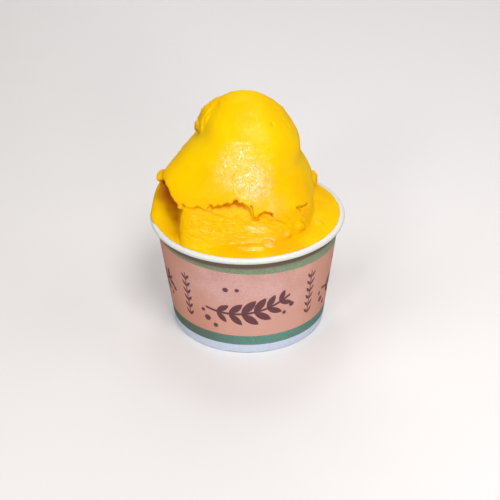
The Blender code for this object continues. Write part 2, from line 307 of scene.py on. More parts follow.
def sprigField(flat):
    cx, cy = sprig["centre"]
    marks = (abs(flat.away((cx, cy, 0.0)) - sprig["radius"]) - sprig["stem"]).most(
        flat.away((0.0, cy - sprig["radius"] + sprig["lift"], 0.0)) - sprig["reach"])
    for along in sprig["pairs"]:
        turn = math.degrees(math.asin((along - cx) / sprig["radius"]))
        root = (along, cy - sprig["radius"] * math.cos(math.radians(turn)))
        size = 1.0 - sprig["taper"] * abs(along - sprig["widest"])
        for side in (1, -1):
            lean = turn + side * sprig["spread"]
            reach = size * sprig["leaf"] / 2
            middle = (root[0] + reach * math.cos(math.radians(lean)),
                      root[1] + reach * math.sin(math.radians(lean)))
            marks = marks.least(leafField(flat, middle, lean, 2 * reach, size * sprig["leafWidth"]))
    for x, y, radius in sprig["berries"]:
        marks = marks.least(flat.away((x, y, 0.0)) - radius)
    return marks


def earField(across, up):
    # one pair of leaves, repeated up a short stem
    flat = across.node("ShaderNodeCombineXYZ", None, {"X": abs(across), "Y": up % ear["pitch"]})
    reach = ear["leaf"] / 2
    lean = 90 - ear["spread"]
    marks = abs(across) - ear["stem"]
    for row in (-1, 0):
        middle = (reach * math.cos(math.radians(lean)),
                  reach * math.sin(math.radians(lean)) + row * ear["pitch"])
        marks = marks.least(leafField(flat, middle, lean, ear["leaf"], ear["leafWidth"]))
    return marks.most(abs(up) - ear["height"] / 2)


def inkMask(paint, place, angle, height):
    # sprigs and ears take turns round the cup, measured in mm from the middle of each
    span = 360 / printed["repeats"]
    scale = math.radians(1.0) * printed["meanRadius"]
    acrossSprig, acrossEar = (((angle - start) % span - span / 2) * scale
                              for start in (printed["front"] - span / 2, printed["front"]))
    up = height - printed["middle"]
    flat = paint.node("ShaderNodeCombineXYZ", None, {"X": acrossSprig, "Y": up})
    wobble = (place.noise(2.2, 3.0) - 0.5) * printed["inkWobble"]
    marks = sprigField(flat).least(earField(acrossEar, up)) + wobble
    return 1.0 - marks.step(*printed["inkEdge"])


def boardMaterial():
    mat, paint, place = newMaterial("printed_board")
    x, y, z = place.split()
    angle = y.maths("ARCTAN2", x) * math.degrees(1.0)
    out = (x * x + y * y).maths("SQRT")
    height = z + (place.noise(0.25, 2.0) - 0.5) * printed["wander"]
    leaning = height + x * z * printed["lean"]        # the print sits a little askew on the wall

    def above(line):
        return leaning.step(line - printed["soft"], line + printed["soft"])

    fibres = place.scaled((1.0, 1.0, 2.2)).noise(1.1, 6.0, 0.62, 0.6)
    cloud = place.noise(0.09, 3.0)
    kraft = (fibres.step(0.34, 0.68) * 0.62 + cloud.step(0.3, 0.7) * 0.38).mix(
        printed["kraftDark"], printed["kraft"])
    warm = 1.0 - (z + (cloud - 0.5) * 20.0).step(*printed["warm"])
    kraft = (warm * 0.75).mix(kraft, printed["kraftLow"])
    # painted shade: the kraft turns browner towards both sides and low at the left, where less light falls
    side = (abs(x).step(*printed["sides"]) * 0.75).most(warm * (1.0 - x.step(*printed["lowLeftShade"])))
    kraft = side.mix(kraft, printed["kraftShade"])
    flecks = place.scaled((1.0, 1.0, 0.45)).noise(2.6, 2.0, 0.5, 1.2).step(0.66, 0.74)
    kraft = (flecks * 0.5).mix(kraft, printed["fleck"])
    patchy = place.noise(1.6, 5.0, 0.65).step(0.3, 0.72)
    # painted shade: the lower green line darker and greyer at the left and a little at the right
    greenShade = ((1.0 - x.step(*printed["greenShadeLeft"])) * 0.85).most(x.step(*printed["greenShadeRight"]) * 0.4)
    lowGreen = greenShade.mix(patchy.mix(printed["lowGreenDark"], printed["lowGreen"]), printed["lowGreenShade"])
    highGreen = patchy.mix(printed["highGreenDark"], printed["highGreen"])
    green = z.step(printed["middle"], printed["middle"] + 1.0).mix(lowGreen, highGreen)
    ink = place.noise(1.8, 4.0, 0.6).step(0.45, 0.8).mix(printed["ink"], printed["inkWorn"])
    pulp = place.noise(0.8, 4.0).step(0.2, 0.8)
    board = pulp.mix(printed["boardDark"], printed["board"])
    footTone = pulp.mix(printed["footDark"], printed["footTone"])

    inField = above(printed["lowLine"]) * (1.0 - above(printed["highLine"]))
    colour = (inkMask(paint, place, angle, z) * inField).mix(kraft, ink)
    onLines = (1.0 - inField) * above(printed["foot"]) * (
        1.0 - height.step(printed["field"] - 0.1, printed["field"] + 0.1))
    colour = onLines.mix(colour, green)
    # painted shadow under the roll: a dark olive-brown band from the top of the field up to the roll
    colour = height.step(printed["field"] - 0.7, printed["field"] + 0.5).mix(colour, printed["rollShadow"])
    # bare board: the roll, the hem and all of the inside, told by the depth below the wall's outer face
    skin = out - (z * cup["slope"] + cup["foot"])
    outside = skin.step(-cup["paper"] * 0.75, -cup["paper"] * 0.45)
    onRoll = z.step(printed["rollFrom"] - 0.05, printed["rollFrom"] + 0.3).most(skin.step(0.55, 0.7))
    # the foot below its line in a pale blue-grey, bluer than the board
    colour = above(printed["foot"]).mix(footTone, colour)
    bare = (1.0 - outside).most(onRoll)
    colour = bare.mix(colour, board)

    grainHeight = fibres * 0.6 + place.noise(5.0, 3.0) * 0.4
    rough = (1.0 - bare) * 0.16 + 0.42 + (fibres - 0.5) * 0.12
    finishMaterial(paint, {"Base Color": colour, "Roughness": rough, "IOR": 1.45,
                           "Normal": bump(paint, grainHeight, 0.035)})
    return mat


def plainBoardMaterial():
    mat, paint, place = newMaterial("white_board")
    cloud = place.noise(0.5, 5.0, 0.6)
    colour = cloud.step(0.3, 0.7).mix(printed["boardDark"], printed["board"])
    finishMaterial(paint, {"Base Color": colour, "Roughness": 0.42 + (cloud - 0.5) * 0.15, "IOR": 1.45,
                           "Normal": bump(paint, place.noise(3.0, 5.0, 0.65), 0.03)})
    return mat


def makeCup():
    columns = [360 * i / cup["columns"] for i in range(cup["columns"])]
    columns += [cup["seam"] + close for close in cup["seamColumns"]]
    wall = turned("cupWall", boardOutline(wallMiddle(), cup["paper"]), sorted(set(columns)), seamRise)
    addPiece("paper_cup_wall", wall, boardMaterial(), "cup_wall")

    half = cup["paper"] / 2
    skirt = cup["paper"] + cup["gap"] + half
    level = cup["base"] - half
    foot = level - cup["skirt"]
    bend = (wallRadius(level, skirt) - cup["bend"], level - cup["bend"])
    line = [(bend[0] * (i + cup["baseHole"]) / cup["baseRings"], level) for i in range(cup["baseRings"])]
    line += arc(bend, cup["bend"], 90, cup["bendEnd"], cup["bendSteps"])
    line.append((wallRadius(foot, skirt), foot))
    columns = [360 * i / cup["baseColumns"] for i in range(cup["baseColumns"])]
    base = turned("cupBase", boardOutline(line, cup["paper"]), columns)
    addPiece("paper_cup_base", base, plainBoardMaterial(), "cup_base")


makeCup()
print("cup made")


# the sorbet: loads of a spatula, blended, then worked over with tears, scraps, cracks and streaks
fill = {"edge": 55.1, "edgeRadius": 42.4, "radius": 44.7, "turnDown": 41.5, "floor": 7.05, "bottom": 3.0,
        "crown": 7.0, "crownPower": 2.2, "waves": 0.35, "waveSize": 9.0,
        # a bulge at the left: x, y and rise, then its spread across and along
        "bulge": (-41.5, 13.0, 9.9), "bulgeSpread": (9.5, 16.0),
        # shares of the ball that make its top and, below that, its side
        "topShare": 0.72, "sideShare": 0.9}
# the tall load; rows of both loads are height, left, right, front and back
mound = {"top": 113.15,
         "rows": [(109.0, -12.0, 10.2, -8.5, 13.5), (104.0, -16.0, 16.0, -14.0, 19.0),
                  (98.5, -18.2, 20.2, -18.8, 23.0), (95.0, -19.8, 22.1, -20.5, 25.0),
                  (90.0, -23.8, 24.0, -22.5, 27.5), (83.0, -29.3, 24.7, -25.0, 29.5),
                  (76.0, -34.6, 28.2, -27.5, 31.0), (70.0, -35.4, 30.2, -29.5, 31.0),
                  (62.0, -34.0, 30.2, -33.0, 31.0), (52.0, -34.0, 30.5, -37.0, 32.0)],
         "squareness": 2.5, "middle": (-4.0, 1.0), "lip": 1.2, "lipShare": 0.12, "underRise": 4.0,
         "edgeShare": 0.68, "topPower": 1.6, "underPower": 1.3,
         # a ridge down its left side: angle, width, share of the radius and where it fades
         "ridge": (196.0, 22.0, 0.13), "ridgeTop": (80.0, 100.0),
         # the lower edge all round: angle and height; it is whole where it lies low and torn where high
         "torn": (58.0, 66.0),
         "edge": [(0, 52.0), (45, 52.5), (58, 60.0), (70, 63.5), (84, 67.5), (98, 65.0), (116, 55.0),
                  (128, 53.0), (150, 64.0), (170, 74.5), (190, 76.8), (202, 77.0), (208, 75.6),
                  (213, 72.6), (217, 70.2), (224, 70.4), (229, 70.0), (233, 70.6), (236, 71.5),
                  (242, 71.4), (244.5, 73.8), (254, 73.7), (259, 75.0), (264, 75.7), (269, 75.6),
                  (276, 73.4), (278, 72.0), (278.6, 67.6), (283.6, 67.1), (286, 68.3), (290, 68.3),
                  (295.5, 66.8), (299, 65.1), (302, 63.6), (305, 59.0), (309, 54.0), (318, 52.0)]}
# the flat load in front; its left side turns in: behind this y, fully at this x, by this share
shelf = {"top": 77.0, "foot": 49.0, "squareness": 7.0, "turn": (-24.0, -26.0, 0.6), "endShare": 0.3,
         "rows": [(78.0, -28.0, 20.0, -17.0, 25.0), (74.0, -30.0, 21.0, -22.5, 26.0),
                  (70.0, -30.6, 21.0, -26.5, 26.0), (63.0, -30.8, 20.0, -30.5, 26.0),
                  (57.0, -31.0, 19.0, -34.5, 26.0), (48.0, -31.5, 19.0, -38.0, 26.0)]}
# centre, radii, roughness, grain and seed of each lump
lumps = [((-7.0, 6.5, 96.0), (15.0, 14.0, 13.2), 0.07, 0.35, 2.0),       # fold behind the top
         ((-21.6, 3.0, 96.8), (1.7, 2.2, 2.8), 0.25, 0.8, 5.0),          # nub that hangs from it
         ((30.6, 22.5, 59.2), (2.9, 4.4, 3.7), 0.25, 0.7, 7.0),          # scraps on the rim
         ((26.5, 27.0, 58.5), (4.5, 3.4, 3.2), 0.25, 0.7, 8.0),
         ((-39.7, 14.5, 66.0), (2.6, 4.4, 2.1), 0.25, 0.7, 9.0),
         ((1.5, -36.4, 56.7), (6.0, 2.2, 1.3), 0.3, 0.8, 15.0),          # low bumps on the filling
         ((9.0, -34.0, 57.2), (3.2, 2.0, 1.7), 0.3, 0.8, 16.0),
         ((16.6, -29.6, 58.8), (2.4, 1.8, 1.8), 0.3, 0.8, 17.0),
         ((31.8, -15.8, 56.6), (2.6, 2.4, 1.6), 0.3, 0.8, 18.0),
         ((22.0, -24.5, 59.6), (3.4, 3.0, 3.4), 0.3, 0.8, 19.0),
         ((7.0, 17.5, 80.0), (16.5, 17.0, 14.0), 0.08, 0.45, 11.0),      # smears at the back
         ((-14.0, 20.0, 70.0), (16.0, 15.0, 11.0), 0.09, 0.45, 13.0)]
# width, depth and course of each crack or pit
cracks = [(0.6, 1.0, [(-30.6, -20.2, 69.6), (-28.2, -22.4, 70.2), (-25.5, -24.2, 69.9),
                      (-23.6, -25.1, 70.1), (-21.8, -25.3, 71.2), (-19.5, -26.0, 70.9),
                      (-17.5, -26.4, 71.4)]),
          (0.6, 0.8, [(-30.2, -18.7, 67.0), (-30.2, -23.0, 61.5), (-30.2, -26.5, 57.4)]),
          (0.55, 0.6, [(-18.1, -26.1, 70.0), (-16.0, -26.8, 69.6), (-15.1, -27.5, 68.4),
                       (-10.7, -28.0, 67.6)]),
          (0.8, 1.5, [(1.6, -28.4, 72.6), (1.4, -29.2, 70.2), (1.8, -30.0, 67.7), (5.2, -30.0, 67.2)]),
          (1.6, 3.0, [(5.9, -29.4, 68.0), (7.6, -29.2, 68.9), (10.2, -29.2, 68.3)]),
          (0.55, 0.7, [(9.9, -29.2, 68.0), (13.8, -29.3, 65.3), (16.5, -28.7, 64.1)]),
          (0.9, 0.5, [(8.2, -30.2, 63.2), (9.4, -30.2, 62.8)]),
          (0.7, 1.3, [(22.2, -22.5, 68.6), (24.8, -20.6, 67.8), (27.6, -16.6, 67.4)]),
          (1.0, 1.6, [(23.2, -21.9, 68.2), (23.9, -21.3, 66.6)]),
          (0.7, 0.9, [(11.3, -10.8, 104.3), (11.5, -10.8, 103.6)]),
          (0.8, 1.3, [(18.2, -4.4, 100.6), (19.0, -3.9, 99.6)]),
          (0.9, 0.45, [(-9.2, 0.9, 110.6), (-14.6, 1.4, 106.9), (-18.2, 0.4, 102.7), (-19.2, -1.2, 97.6)]),
          (0.7, 0.9, [(-15.6, 1.2, 105.9), (-16.4, 1.0, 104.9)]),
          (0.6, 0.4, [(-29.1, -27.2, 58.9), (-25.4, -30.5, 60.1), (-22.7, -32.0, 59.5)])]
# torn bits along the mound's lower edge: angles at the front, then from, to and count at the back
crumb = {"front": (221.0, 227.0, 230.5, 238.5, 241.0, 249.0, 262.0, 270.0), "back": (60, 110, 8),
         "size": (0.5, 1.2), "below": 0.6, "rough": 0.35, "grain": 0.8, "seed": 5}
# how the loads become one skin: remesh size, smoothing, triangles, gap to the paper, depth of a full crack
worked = {"voxel": 0.5, "soften": 2, "faces": 150000, "clear": 0.04, "crackMask": (0.15, 1.3),
          # points around and down each load
          "fillSteps": (160, 110), "moundSteps": (360, 180), "shelfSteps": (160, 80),
          "lumpSteps": (48, 32), "crumbSteps": (12, 8),
          # how the hollows are found: directions, the turn between them in radians, start, reach,
          # how much a far hit counts less, and rounds of evening out
          "looks": 20, "turn": 2.399963, "hollowStart": 0.15, "hollowReach": 20.0, "hollowFade": 0.6,
          "even": 6,
          # size, seed and depth of each grain of the skin, and the depths of the spatula's streaks
          "grains": {"all": [(8.0, 0.0, 0.25)],
                     "lower": [(2.6, 6.0, 0.3), (1.3, 21.0, 0.15)],
                     "fold": [(3.0, 15.0, 0.5), (2.6, 6.0, 0.25), (1.3, 21.0, 0.15)],
                     "back": [(8.0, 3.0, 1.1), (3.4, 4.0, 0.6), (1.3, 21.0, 0.2)]},
          "streaks": 0.17, "sweeps": 0.09}


def ramp(value, low, high):
    t = np.clip((value - low) / (high - low), 0.0, 1.0)
    return t * t * (3 - 2 * t)


def hump(distance, width):
    return np.exp(-((distance / width) ** 2))


def angleBetween(angle, centre):
    return (angle - centre + 180) % 360 - 180


def grain(point, size, seed=0.0):
    return noise.noise(Vector(point) / size + Vector((seed, 1.7 * seed, -seed)))


def grains(points, size, seed):
    # the same for rows of points
    moved = np.asarray(points) / size + np.array((seed, 1.7 * seed, -seed))
    return np.array([noise.noise(p) for p in moved])


def sizesAt(levels, height):
    # left, right, front and back at a height, on a smooth curve through the rows
    height = min(max(height, levels[-1][0]), levels[0][0])
    last = len(levels) - 1
    i = next(n for n in range(last) if height >= levels[n + 1][0])
    before, upper, lower, after = (levels[min(max(n, 0), last)] for n in (i - 1, i, i + 1, i + 2))
    span = lower[0] - upper[0]
    t = (height - upper[0]) / span
    sizes = []
    for n in range(1, 5):
        slopeIn = (lower[n] - before[n]) / (lower[0] - before[0]) * span
        slopeOut = (after[n] - upper[n]) / (after[0] - upper[0]) * span
        sizes.append((2 * t ** 3 - 3 * t ** 2 + 1) * upper[n] + (t ** 3 - 2 * t ** 2 + t) * slopeIn
                     + (3 * t ** 2 - 2 * t ** 3) * lower[n] + (t ** 3 - t ** 2) * slopeOut)
    return sizes


def section(levels, angle, height, squareness, close=1.0):
    # point on the rounded-square section at a height
    left, right, front, back = sizesAt(levels, height)
    across, along = (right - left) / 2, (back - front) / 2
    c, s = math.cos(math.radians(angle)), math.sin(math.radians(angle))
    reach = (abs(c / across) ** squareness + abs(s / along) ** squareness) ** (-1 / squareness)
    return (left + right) / 2 + close * reach * c, (front + back) / 2 + close * reach * s


def fillLevel(x, y):
    reach = math.hypot(x, y) / fill["edgeRadius"]
    level = fill["edge"] + fill["crown"] * (1 - reach ** fill["crownPower"])
    bulge, spread = fill["bulge"], fill["bulgeSpread"]
    level += bulge[2] * hump(x - bulge[0], spread[0]) * hump(y - bulge[1], spread[1])
    return level + fill["waves"] * grain((x, y, 0.0), fill["waveSize"])


def fillShape(angle, s):
    # the filling, from its domed top down past the room in the cup
    top, side = fill["topShare"], fill["sideShare"]
    if s < top:
        reach = fill["radius"] * s / top
    elif s < side:
        reach = fill["radius"]
    else:
        reach = fill["radius"] * (1 - s) / (1 - side)
    x, y = reach * math.cos(math.radians(angle)), reach * math.sin(math.radians(angle))
    if s >= side:
        return x, y, fill["bottom"]
    level = fillLevel(x, y)
    if reach > fill["turnDown"] and level > cup["height"]:
        over = (reach - fill["turnDown"]) / (fill["radius"] - fill["turnDown"])
        level = cup["height"] + (level - cup["height"]) * math.sqrt(max(1 - over * over, 0.0))
    if s >= top:
        level += (fill["bottom"] - level) * (s - top) / (side - top)
    return x, y, level


edgeAngles, edgeHeights = zip(*mound["edge"])


def moundEdge(angle):
    # height of the mound's lower edge, without its ragged teeth
    return np.interp(np.asarray(angle) % 360, edgeAngles, edgeHeights, period=360)


def raggedEdge(angle):
    edge = float(moundEdge(angle))
    torn = float(ramp(edge, *mound["torn"]))
    wide, narrow = grain((angle, 0.0, 0.0), 5.5, 1.3), grain((angle, 3.0, 0.0), 1.3, 2.3)
    return edge + torn * (0.45 * wide + 0.1 * narrow)


def moundSection(angle, height):
    dome = mound["rows"][0][0]
    close = math.sqrt(max(mound["top"] - height, 0.0) / (mound["top"] - dome)) if height > dome else 1.0
    x, y = section(mound["rows"], angle, height, mound["squareness"], close)
    centre, width, rise = mound["ridge"]
    swell = 1 + rise * hump(angleBetween(angle, centre), width) * (1 - ramp(height, *mound["ridgeTop"]))
    return x * swell, y * swell


def moundShape(angle, s):
    # the big load: a smooth dome, a lip at its lower edge and its underside
    edgeAt = mound["edgeShare"]
    edge = raggedEdge(angle)
    if s < edgeAt:
        height = edge + (mound["top"] - edge) * (1 - (s / edgeAt) ** mound["topPower"])
        return *moundSection(angle, height), height
    t = (s - edgeAt) / (1 - edgeAt)
    x, y = moundSection(angle, edge)
    inwards = t ** mound["underPower"]
    drop = mound["lip"] * math.sin(min(t / mound["lipShare"], 1.0) * math.pi / 2)
    middle = mound["middle"]
    return (x + (middle[0] - x) * inwards, y + (middle[1] - y) * inwards,
            edge - drop + mound["underRise"] * inwards)


def shelfShape(angle, s):
    end = shelf["endShare"]
    height = shelf["top"] + (shelf["foot"] - shelf["top"]) * min(max((s - end) / (1 - 2 * end), 0.0), 1.0)
    close = min(s / end, (1 - s) / end, 1.0)
    x, y = section(shelf["rows"], angle, height, shelf["squareness"])
    behind, full, turnIn = shelf["turn"]
    x += turnIn * max(y - behind, 0.0) * min(max(x / full, 0.0), 1.0)
    return x * close, y * close, height


def lumpShape(centre, radii, rough, size, seed):
    def shape(angle, s):
        ring = math.sin(math.pi * s)
        unit = (ring * math.cos(math.radians(angle)), ring * math.sin(math.radians(angle)),
                math.cos(math.pi * s))
        swell = 1 + rough * grain(unit, size, seed)
        return [c + r * u * swell for c, r, u in zip(centre, radii, unit)]
    return shape


def shapedBall(shape, around, down):
    # a UV sphere whose points go where the shape says, s from 0 at the top to 1
    bm = bmesh.new()
    bmesh.ops.create_uvsphere(bm, u_segments=around, v_segments=down, radius=1.0)
    for vert in bm.verts:
        angle = math.degrees(math.atan2(vert.co.y, vert.co.x)) % 360
        s = math.acos(max(-1.0, min(1.0, vert.co.z))) / math.pi
        vert.co = Vector(shape(angle, s)) * mm
    mesh = bpy.data.meshes.new("load")
    bm.to_mesh(mesh)
    bm.free()
    return mesh


def runModifiers(name, mesh, settings):
    # a mesh after a list of modifiers, each given as its type and settings
    holder = bpy.data.objects.new(name, mesh)
    bpy.context.scene.collection.objects.link(holder)
    for kind, values in settings:
        modifier = holder.modifiers.new(kind, kind)
        for key, value in values.items():
            setattr(modifier, key, value)
    graph = bpy.context.evaluated_depsgraph_get()
    result = bpy.data.meshes.new_from_object(holder.evaluated_get(graph))
    bpy.data.objects.remove(holder, do_unlink=True)
    return result


def pointsOf(mesh):
    places = np.empty(len(mesh.vertices) * 3)
    mesh.vertices.foreach_get("co", places)
    return places.reshape(-1, 3) / mm


def normalsOf(mesh):
    normals = np.empty(len(mesh.vertices) * 3)
    mesh.vertices.foreach_get("normal", normals)
    return normals.reshape(-1, 3)


def setPoints(mesh, points):
    mesh.vertices.foreach_set("co", (points * mm).ravel())
    mesh.update()


def surfaceOf(mesh):
    return BVHTree.FromPolygons([v.co.copy() for v in mesh.vertices],
                                [tuple(p.vertices) for p in mesh.polygons])


def addValues(mesh, name, values):
    # a number at each point, which the material reads
    layer = mesh.attributes.new(name, "FLOAT", "POINT")
    layer.data.foreach_set("value", values)


def crackDepth(points, surface):
    # how far the cracks take the surface in; their courses are first laid on it
    depth = np.zeros(len(points))
    for width, deep, course in cracks:
        laid = [np.array(surface.find_nearest(Vector(c) * mm)[0]) / mm for c in course]
        for start, end in zip(laid, laid[1:]):
            leg = end - start
            share = np.clip(((points - start) @ leg) / (leg @ leg), 0.0, 1.0)
            away = np.linalg.norm(points - start - share[:, None] * leg, axis=1) / width
            depth = np.maximum(depth, deep * np.clip(1 - away * away, 0.0, None))
    return depth


def hollows(mesh):
    # share of the open directions above each point that meet the sorbet close by; the material paints shade
    # by it
    count, reach = worked["looks"], worked["hollowReach"] * mm
    surface = surfaceOf(mesh)
    ways = []
    for i in range(count):
        up = 1 - (i + 0.5) / count
        out, turn = math.sqrt(1 - up * up), worked["turn"] * i
        ways.append(Vector((out * math.cos(turn), out * math.sin(turn), up)))
    values = np.zeros(len(mesh.vertices))
    for vert in mesh.vertices:
        facing = vert.normal.to_track_quat("Z", "X")
        start = vert.co + vert.normal * worked["hollowStart"] * mm
        weight = 0.0
        for way in ways:
            hit = surface.ray_cast(start, facing @ way, reach)
            if hit[0]:
                weight += way.z * (1 - worked["hollowFade"] * hit[3] / reach)
        values[vert.index] = weight / (count / 2)
    # evened out along the edges, since the directions are few
    edges = np.array([e.vertices[:] for e in mesh.edges])
    joins = np.bincount(edges.ravel(), minlength=len(values))
    for _ in range(worked["even"]):
        beside = (np.bincount(edges[:, 0], values[edges[:, 1]], len(values))
                  + np.bincount(edges[:, 1], values[edges[:, 0]], len(values)))
        values = (values + beside / joins) / 2
    return values


def tornMask(points):
    # near the mound's lower edge, at the fold's torn side and all over the back
    middle = mound["middle"]
    angle = np.degrees(np.arctan2(points[:, 1] - middle[1], points[:, 0] - middle[0]))
    edge = moundEdge(angle)
    out = np.hypot(points[:, 0], points[:, 1])
    lower = ramp(edge, *mound["torn"]) * hump(points[:, 2] - edge + 0.6, 2.2) * ramp(out, 20, 26)
    fold = ramp(-points[:, 0], 9, 14) * ramp(points[:, 1], -0.5, 2.0) * ramp(points[:, 2], 90, 95)
    back = ramp(points[:, 1], 4, 20) * ramp(points[:, 2], 58, 64)
    return lower, fold, back


def relief(points):
    # how far the grain and the streaks move the skin out
    lower, fold, back = tornMask(points)
    x, y, z = points.T
    made = {}
    move = np.zeros(len(points))
    for part, mask in (("all", 1.0), ("lower", lower), ("fold", fold), ("back", back)):
        layers = 0.0
        for size, seed, depth in worked["grains"][part]:
            if (size, seed) not in made:
                made[size, seed] = grains(points, size, seed)
            layers = layers + depth * made[size, seed]
        move += mask * layers
    # spatula streaks: level on the shelf and the fill, slanting on the mound
    front = ramp(-y, 8, 20)
    low = front * (1 - ramp(z, 66, 72)) * ramp(z, 54, 57)
    slanted = z + 0.42 * x
    streak = grains(np.stack([x * 0.16, np.zeros(len(x)), slanted * 0.75], 1), 1.0, 31.0)
    move += low * worked["streaks"] * streak
    sweep = grains(np.stack([x * 0.25 + z * 0.16, y * 0.1, z * 0.5 - x * 0.32], 1), 1.0, 41.0)
    move += front * ramp(z, 72, 78) * worked["sweeps"] * sweep
    return move


def keepInCup(points):
    # the sorbet fills the cup up to its wall and laps over the roll only above it
    clear = worked["clear"]
    roll = cup["roll"] + clear
    z = np.maximum(points[:, 2], fill["floor"])
    lift = np.clip((z - cup["wallTop"]) / roll, 0.0, 1.0)
    besideRoll = cup["rollMiddle"] - roll * np.sqrt(1 - lift * lift)
    inWall = cup["foot"] + cup["slope"] * z - (cup["paper"] + clear) / cup["tilt"]
    limit = np.where(z > cup["wallTop"], besideRoll, inWall)
    limit = np.where(z > cup["wallTop"] + roll, fill["radius"], limit)
    out = np.hypot(points[:, 0], points[:, 1])
    share = np.minimum(1.0, limit / np.maximum(out, 1e-6))
    return np.stack([points[:, 0] * share, points[:, 1] * share, z], 1)


def sorbetMesh():
    balls = [(fillShape, *worked["fillSteps"]), (moundShape, *worked["moundSteps"]),
             (shelfShape, *worked["shelfSteps"])]
    balls += [(lumpShape(*row), *worked["lumpSteps"]) for row in lumps]
    balls += [(lumpShape(*row), *worked["crumbSteps"]) for row in crumbs()]
    bm = bmesh.new()
    for ball in balls:
        load = shapedBall(*ball)
        bm.from_mesh(load)
        bpy.data.meshes.remove(load)
    joined = bpy.data.meshes.new("loads")
    bm.to_mesh(joined)
    bm.free()
    mesh = runModifiers("loads", joined, [
        ("REMESH", {"mode": "VOXEL", "voxel_size": worked["voxel"] * mm}),
        ("SMOOTH", {"factor": 0.5, "iterations": worked["soften"]})])
    points = pointsOf(mesh)
    deep = crackDepth(points, surfaceOf(mesh))
    points = points + normalsOf(mesh) * (relief(points) - deep)[:, None]
    setPoints(mesh, keepInCup(points))
    addValues(mesh, "deep", ramp(deep, *worked["crackMask"]))
    share = worked["faces"] / (2 * len(mesh.polygons))
    if share < 1:
        mesh = runModifiers("loads", mesh, [("DECIMATE", {"ratio": share})])
    addValues(mesh, "hollowShade", hollows(mesh))
    lower, fold, back = tornMask(pointsOf(mesh))
    addValues(mesh, "torn", np.clip(np.maximum(lower, fold) + 0.5 * back, 0, 1))
    return mesh


def crumbs():
    # little torn bits that hang from the mound's lower edge
    np.random.seed(crumb["seed"])
    rows = []
    for angle in (*crumb["front"], *np.linspace(*crumb["back"])):
        angle += np.random.uniform(-1, 1)
        edge = float(moundEdge(angle))
        x, y = moundSection(angle, edge)
        size = np.random.uniform(*crumb["size"])
        height = edge - crumb["below"] + np.random.uniform(-0.5, 0.3)
        rows.append(((x, y, height), (size * 1.5, size, size * 0.6),
                     crumb["rough"], crumb["grain"], float(len(rows))))
    return rows


# the ice crystals: how many per mm and how tilted, their roughness, and how much of the skin shows them
ice = {"perMm": 2.8, "tilt": 0.36, "shiny": 0.2, "matt": 0.42,
       "least": 0.005, "most": 0.19, "rare": 0.16, "flecks": 0.33, "ragged": 1.1,
       # where the skin is frosted: centre, radii and share
       "spots": [((-4.0, -22.5, 88.3), (14.5, 15.0, 14.5), 0.62),         # the broad patch in front
                 ((2.4, -25.0, 82.4), (12.6, 14.0, 13.0), 1.1),
                 ((5.0, -14.5, 101.5), (9.0, 9.0, 9.0), 0.05),            # a trace above it
                 ((6.0, -7.0, 108.0), (9.0, 9.0, 9.0), 0.06),
                 ((0.9, -36.6, 57.4), (9.0, 5.0, 2.4), 0.5),              # front of the filling
                 ((8.6, -34.2, 57.8), (4.4, 3.6, 2.8), 0.9),
                 ((4.2, -30.5, 62.6), (6.5, 5.0, 2.0), 0.42),
                 ((16.0, -29.5, 59.4), (2.6, 2.6, 2.6), 0.8),
                 ((31.8, -15.4, 57.3), (3.6, 3.2, 2.2), 0.8),             # low bumps at the right
                 ((37.6, -0.2, 56.5), (2.6, 2.6, 2.2), 0.7),
                 ((13.5, -26.0, 72.0), (8.0, 8.0, 6.5), 0.4)]}            # the skin by the lower edge
# parts of the skin that differ, each from none to full, in mm across, back or up
zones = {"shelfFoot": (55.0, 58.5), "shelfTop": (67.0, 72.0), "shelfBack": (-22.0, -12.0),
         "furrowFoot": (56.5, 61.0), "left": (-32.5, -29.0),
         "right": (19.0, 25.0), "rightTop": (58.0, 61.0), "rightBack": (2.0, 14.0)}
sorbetTints = {"plain": rgb(243, 187, 0), "light": rgb(246, 196, 0), "patch": rgb(243, 201, 4),
               "torn": rgb(232, 170, 0), "shelf": rgb(241, 184, 0), "furrow": rgb(233, 162, 0),
               "crack": rgb(226, 146, 0), "hollowShade": rgb(232, 150, 0), "leftRecessShade": rgb(186, 98, 0),
               # painted light and shade, place by place: centre, radius, share and colour; paler places lit
               # by painted light come first, then places low on the load, at its top and along the rim
               # darkened by painted shade, then the darkest painted shade at the nub, the fold and the
               # recess at the left
               "paintedLightShade": [((-17.0, -8.0, 98.0), 17.0, 0.7, rgb(247, 202, 4)),
                          ((22.0, -6.0, 97.0), 13.0, 0.6, rgb(247, 200, 4)),
                          ((28.0, -12.0, 57.5), 7.0, 0.5, rgb(248, 206, 4)),
                          ((-4.0, -6.0, 112.0), 12.0, 0.5, rgb(239, 178, 0)),
                          ((-14.0, -31.0, 80.0), 18.0, 0.5, rgb(238, 175, 0)),
                          ((11.0, -29.0, 76.0), 14.0, 0.45, rgb(238, 175, 0)),
                          ((25.0, -17.0, 76.0), 10.0, 0.6, rgb(237, 172, 0)),
                          ((-6.0, -42.0, 55.0), 15.0, 0.65, rgb(235, 168, 0)),
                          ((17.0, -37.0, 55.0), 14.0, 0.75, rgb(234, 164, 0)),
                          ((-21.6, 3.0, 96.8), 4.5, 0.8, rgb(168, 122, 0)),
                          ((-18.5, 4.0, 101.0), 6.0, 0.4, rgb(186, 140, 0)),
                          ((-38.5, 4.0, 63.5), 7.5, 0.6, rgb(180, 92, 0))]}


